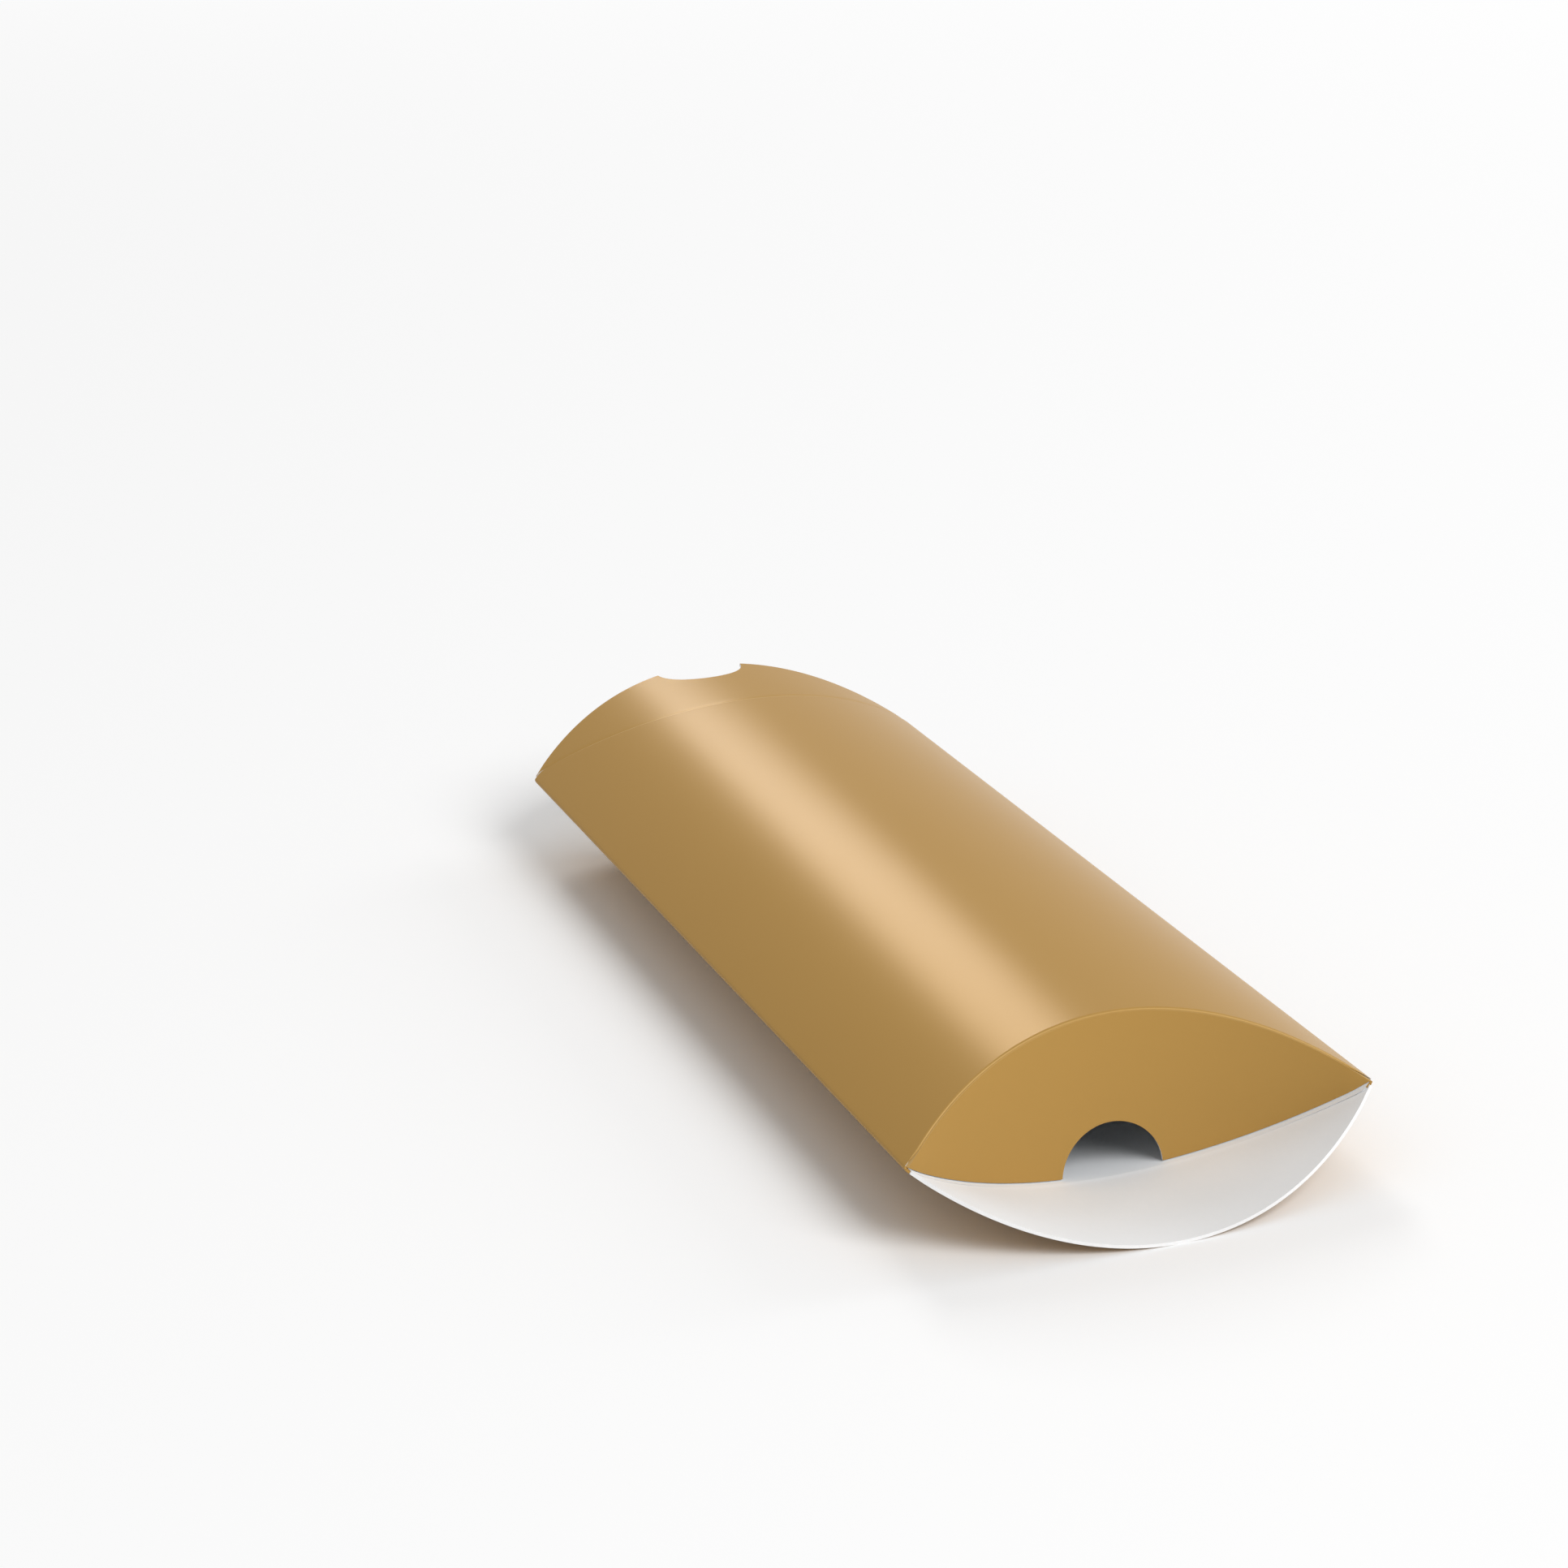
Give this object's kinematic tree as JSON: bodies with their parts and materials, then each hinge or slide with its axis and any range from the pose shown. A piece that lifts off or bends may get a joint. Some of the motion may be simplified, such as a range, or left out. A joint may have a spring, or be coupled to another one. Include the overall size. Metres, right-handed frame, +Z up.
{
  "type": "pillow box",
  "caption": "Folding gift box of thin board: two bowed panels joined down the sides, closed at each end by curved tuck flaps, with half-round thumb notches.",
  "frame": {"origin": "middle of the underside, on the lowest line of the bottom panel", "axes": "+X to the right seen from the front end, +Y along the length towards the rear end, +Z up"},
  "size_m": [0.065, 0.1921, 0.023],
  "materials": {
    "gold_board": "satin",
    "white_board": "matte",
    "adhesive": "satin"
  },
  "bodies": {
    "sleeve": {"top_panel": "gold_board", "bottom_panel": "gold_board", "glue_tab": "white_board", "glue_strip": "adhesive"},
    "front_top_flap_left_3": {"front_top_flap_left_3": "gold_board"},
    "front_top_flap_left_2": {"front_top_flap_left_2": "gold_board"},
    "front_top_flap_left_1": {"front_top_flap_left_1": "gold_board"},
    "front_top_flap_middle": {"front_top_flap_middle": "gold_board"},
    "front_top_flap_right_1": {"front_top_flap_right_1": "gold_board"},
    "front_top_flap_right_2": {"front_top_flap_right_2": "gold_board"},
    "front_top_flap_right_3": {"front_top_flap_right_3": "gold_board"},
    "front_bottom_flap_left_3": {"front_bottom_flap_left_3": "gold_board"},
    "front_bottom_flap_left_2": {"front_bottom_flap_left_2": "gold_board"},
    "front_bottom_flap_left_1": {"front_bottom_flap_left_1": "gold_board"},
    "front_bottom_flap_middle": {"front_bottom_flap_middle": "gold_board"},
    "front_bottom_flap_right_1": {"front_bottom_flap_right_1": "gold_board"},
    "front_bottom_flap_right_2": {"front_bottom_flap_right_2": "gold_board"},
    "front_bottom_flap_right_3": {"front_bottom_flap_right_3": "gold_board"},
    "rear_top_flap_left_3": {"rear_top_flap_left_3": "gold_board"},
    "rear_top_flap_left_2": {"rear_top_flap_left_2": "gold_board"},
    "rear_top_flap_left_1": {"rear_top_flap_left_1": "gold_board"},
    "rear_top_flap_middle": {"rear_top_flap_middle": "gold_board"},
    "rear_top_flap_right_1": {"rear_top_flap_right_1": "gold_board"},
    "rear_top_flap_right_2": {"rear_top_flap_right_2": "gold_board"},
    "rear_top_flap_right_3": {"rear_top_flap_right_3": "gold_board"},
    "rear_bottom_flap_left_3": {"rear_bottom_flap_left_3": "gold_board"},
    "rear_bottom_flap_left_2": {"rear_bottom_flap_left_2": "gold_board"},
    "rear_bottom_flap_left_1": {"rear_bottom_flap_left_1": "gold_board"},
    "rear_bottom_flap_middle": {"rear_bottom_flap_middle": "gold_board"},
    "rear_bottom_flap_right_1": {"rear_bottom_flap_right_1": "gold_board"},
    "rear_bottom_flap_right_2": {"rear_bottom_flap_right_2": "gold_board"},
    "rear_bottom_flap_right_3": {"rear_bottom_flap_right_3": "gold_board"}
  },
  "joints": [
    {"name": "front_top_flap_fold", "type": "hinge", "parent": "sleeve", "child": "front_top_flap_middle", "pos_m": [0, -0.07372, 0.02278], "axis": [-1, 0, 0], "range_deg": [0, 90]},
    {"name": "front_top_flap_bend_left_1", "type": "hinge", "parent": "front_top_flap_middle", "child": "front_top_flap_left_1", "pos_m": [-0.00495, -0.07396, 0.01215], "axis": [0, 0, -1], "range_deg": [0, 22.14]},
    {"name": "front_top_flap_bend_left_2", "type": "hinge", "parent": "front_top_flap_left_1", "child": "front_top_flap_left_2", "pos_m": [-0.01467, -0.07586, 0.01215], "axis": [0, 0, -1], "range_deg": [0, 22.14]},
    {"name": "front_top_flap_bend_left_3", "type": "hinge", "parent": "front_top_flap_left_2", "child": "front_top_flap_left_3", "pos_m": [-0.02385, -0.07959, 0.01215], "axis": [0, 0, -1], "range_deg": [0, 22.14]},
    {"name": "front_top_flap_bend_right_1", "type": "hinge", "parent": "front_top_flap_middle", "child": "front_top_flap_right_1", "pos_m": [0.00495, -0.07396, 0.01215], "axis": [0, 0, 1], "range_deg": [0, 22.14]},
    {"name": "front_top_flap_bend_right_2", "type": "hinge", "parent": "front_top_flap_right_1", "child": "front_top_flap_right_2", "pos_m": [0.01467, -0.07586, 0.01215], "axis": [0, 0, 1], "range_deg": [0, 22.14]},
    {"name": "front_top_flap_bend_right_3", "type": "hinge", "parent": "front_top_flap_right_2", "child": "front_top_flap_right_3", "pos_m": [0.02385, -0.07959, 0.01215], "axis": [0, 0, 1], "range_deg": [0, 22.14]},
    {"name": "front_bottom_flap_fold", "type": "hinge", "parent": "sleeve", "child": "front_bottom_flap_middle", "pos_m": [0, -0.07502, 0.00022], "axis": [1, 0, 0], "range_deg": [-90, 0]},
    {"name": "front_bottom_flap_bend_left_1", "type": "hinge", "parent": "front_bottom_flap_middle", "child": "front_bottom_flap_left_1", "pos_m": [-0.00495, -0.08565, 0.00046], "axis": [0, 1, 0], "range_deg": [-22.14, 0]},
    {"name": "front_bottom_flap_bend_left_2", "type": "hinge", "parent": "front_bottom_flap_left_1", "child": "front_bottom_flap_left_2", "pos_m": [-0.01467, -0.08565, 0.00236], "axis": [0, 1, 0], "range_deg": [-22.14, 0]},
    {"name": "front_bottom_flap_bend_left_3", "type": "hinge", "parent": "front_bottom_flap_left_2", "child": "front_bottom_flap_left_3", "pos_m": [-0.02385, -0.08565, 0.00609], "axis": [0, 1, 0], "range_deg": [-22.14, 0]},
    {"name": "front_bottom_flap_bend_right_1", "type": "hinge", "parent": "front_bottom_flap_middle", "child": "front_bottom_flap_right_1", "pos_m": [0.00495, -0.08565, 0.00046], "axis": [0, -1, 0], "range_deg": [-22.14, 0]},
    {"name": "front_bottom_flap_bend_right_2", "type": "hinge", "parent": "front_bottom_flap_right_1", "child": "front_bottom_flap_right_2", "pos_m": [0.01467, -0.08565, 0.00236], "axis": [0, -1, 0], "range_deg": [-22.14, 0]},
    {"name": "front_bottom_flap_bend_right_3", "type": "hinge", "parent": "front_bottom_flap_right_2", "child": "front_bottom_flap_right_3", "pos_m": [0.02385, -0.08565, 0.00609], "axis": [0, -1, 0], "range_deg": [-22.14, 0]},
    {"name": "rear_top_flap_fold", "type": "hinge", "parent": "sleeve", "child": "rear_top_flap_middle", "pos_m": [0, 0.07502, 0.02278], "axis": [1, 0, 0], "range_deg": [-90, 0]},
    {"name": "rear_top_flap_bend_left_1", "type": "hinge", "parent": "rear_top_flap_middle", "child": "rear_top_flap_left_1", "pos_m": [-0.00495, 0.08565, 0.02254], "axis": [0, -1, 0], "range_deg": [-22.14, 0]},
    {"name": "rear_top_flap_bend_left_2", "type": "hinge", "parent": "rear_top_flap_left_1", "child": "rear_top_flap_left_2", "pos_m": [-0.01467, 0.08565, 0.02064], "axis": [0, -1, 0], "range_deg": [-22.14, 0]},
    {"name": "rear_top_flap_bend_left_3", "type": "hinge", "parent": "rear_top_flap_left_2", "child": "rear_top_flap_left_3", "pos_m": [-0.02385, 0.08565, 0.01691], "axis": [0, -1, 0], "range_deg": [-22.14, 0]},
    {"name": "rear_top_flap_bend_right_1", "type": "hinge", "parent": "rear_top_flap_middle", "child": "rear_top_flap_right_1", "pos_m": [0.00495, 0.08565, 0.02254], "axis": [0, 1, 0], "range_deg": [-22.14, 0]},
    {"name": "rear_top_flap_bend_right_2", "type": "hinge", "parent": "rear_top_flap_right_1", "child": "rear_top_flap_right_2", "pos_m": [0.01467, 0.08565, 0.02064], "axis": [0, 1, 0], "range_deg": [-22.14, 0]},
    {"name": "rear_top_flap_bend_right_3", "type": "hinge", "parent": "rear_top_flap_right_2", "child": "rear_top_flap_right_3", "pos_m": [0.02385, 0.08565, 0.01691], "axis": [0, 1, 0], "range_deg": [-22.14, 0]},
    {"name": "rear_bottom_flap_fold", "type": "hinge", "parent": "sleeve", "child": "rear_bottom_flap_middle", "pos_m": [0, 0.07372, 0.00022], "axis": [-1, 0, 0], "range_deg": [0, 90]},
    {"name": "rear_bottom_flap_bend_left_1", "type": "hinge", "parent": "rear_bottom_flap_middle", "child": "rear_bottom_flap_left_1", "pos_m": [-0.00495, 0.07396, 0.01085], "axis": [0, 0, 1], "range_deg": [0, 22.14]},
    {"name": "rear_bottom_flap_bend_left_2", "type": "hinge", "parent": "rear_bottom_flap_left_1", "child": "rear_bottom_flap_left_2", "pos_m": [-0.01467, 0.07586, 0.01085], "axis": [0, 0, 1], "range_deg": [0, 22.14]},
    {"name": "rear_bottom_flap_bend_left_3", "type": "hinge", "parent": "rear_bottom_flap_left_2", "child": "rear_bottom_flap_left_3", "pos_m": [-0.02385, 0.07959, 0.01085], "axis": [0, 0, 1], "range_deg": [0, 22.14]},
    {"name": "rear_bottom_flap_bend_right_1", "type": "hinge", "parent": "rear_bottom_flap_middle", "child": "rear_bottom_flap_right_1", "pos_m": [0.00495, 0.07396, 0.01085], "axis": [0, 0, -1], "range_deg": [0, 22.14]},
    {"name": "rear_bottom_flap_bend_right_2", "type": "hinge", "parent": "rear_bottom_flap_right_1", "child": "rear_bottom_flap_right_2", "pos_m": [0.01467, 0.07586, 0.01085], "axis": [0, 0, -1], "range_deg": [0, 22.14]},
    {"name": "rear_bottom_flap_bend_right_3", "type": "hinge", "parent": "rear_bottom_flap_right_2", "child": "rear_bottom_flap_right_3", "pos_m": [0.02385, 0.07959, 0.01085], "axis": [0, 0, -1], "range_deg": [0, 22.14]}
  ],
  "couplings": [
    {"joint": "front_top_flap_bend_left_1", "follows": "front_top_flap_fold", "ratio": 0.24547},
    {"joint": "front_top_flap_bend_left_2", "follows": "front_top_flap_fold", "ratio": 0.24547},
    {"joint": "front_top_flap_bend_left_3", "follows": "front_top_flap_fold", "ratio": 0.24547},
    {"joint": "front_top_flap_bend_right_1", "follows": "front_top_flap_fold", "ratio": 0.24547},
    {"joint": "front_top_flap_bend_right_2", "follows": "front_top_flap_fold", "ratio": 0.24547},
    {"joint": "front_top_flap_bend_right_3", "follows": "front_top_flap_fold", "ratio": 0.24547},
    {"joint": "front_bottom_flap_bend_left_1", "follows": "front_bottom_flap_fold", "ratio": 0.24547},
    {"joint": "front_bottom_flap_bend_left_2", "follows": "front_bottom_flap_fold", "ratio": 0.24547},
    {"joint": "front_bottom_flap_bend_left_3", "follows": "front_bottom_flap_fold", "ratio": 0.24547},
    {"joint": "front_bottom_flap_bend_right_1", "follows": "front_bottom_flap_fold", "ratio": 0.24547},
    {"joint": "front_bottom_flap_bend_right_2", "follows": "front_bottom_flap_fold", "ratio": 0.24547},
    {"joint": "front_bottom_flap_bend_right_3", "follows": "front_bottom_flap_fold", "ratio": 0.24547},
    {"joint": "rear_top_flap_bend_left_1", "follows": "rear_top_flap_fold", "ratio": 0.24547},
    {"joint": "rear_top_flap_bend_left_2", "follows": "rear_top_flap_fold", "ratio": 0.24547},
    {"joint": "rear_top_flap_bend_left_3", "follows": "rear_top_flap_fold", "ratio": 0.24547},
    {"joint": "rear_top_flap_bend_right_1", "follows": "rear_top_flap_fold", "ratio": 0.24547},
    {"joint": "rear_top_flap_bend_right_2", "follows": "rear_top_flap_fold", "ratio": 0.24547},
    {"joint": "rear_top_flap_bend_right_3", "follows": "rear_top_flap_fold", "ratio": 0.24547},
    {"joint": "rear_bottom_flap_bend_left_1", "follows": "rear_bottom_flap_fold", "ratio": 0.24547},
    {"joint": "rear_bottom_flap_bend_left_2", "follows": "rear_bottom_flap_fold", "ratio": 0.24547},
    {"joint": "rear_bottom_flap_bend_left_3", "follows": "rear_bottom_flap_fold", "ratio": 0.24547},
    {"joint": "rear_bottom_flap_bend_right_1", "follows": "rear_bottom_flap_fold", "ratio": 0.24547},
    {"joint": "rear_bottom_flap_bend_right_2", "follows": "rear_bottom_flap_fold", "ratio": 0.24547},
    {"joint": "rear_bottom_flap_bend_right_3", "follows": "rear_bottom_flap_fold", "ratio": 0.24547}
  ]
}
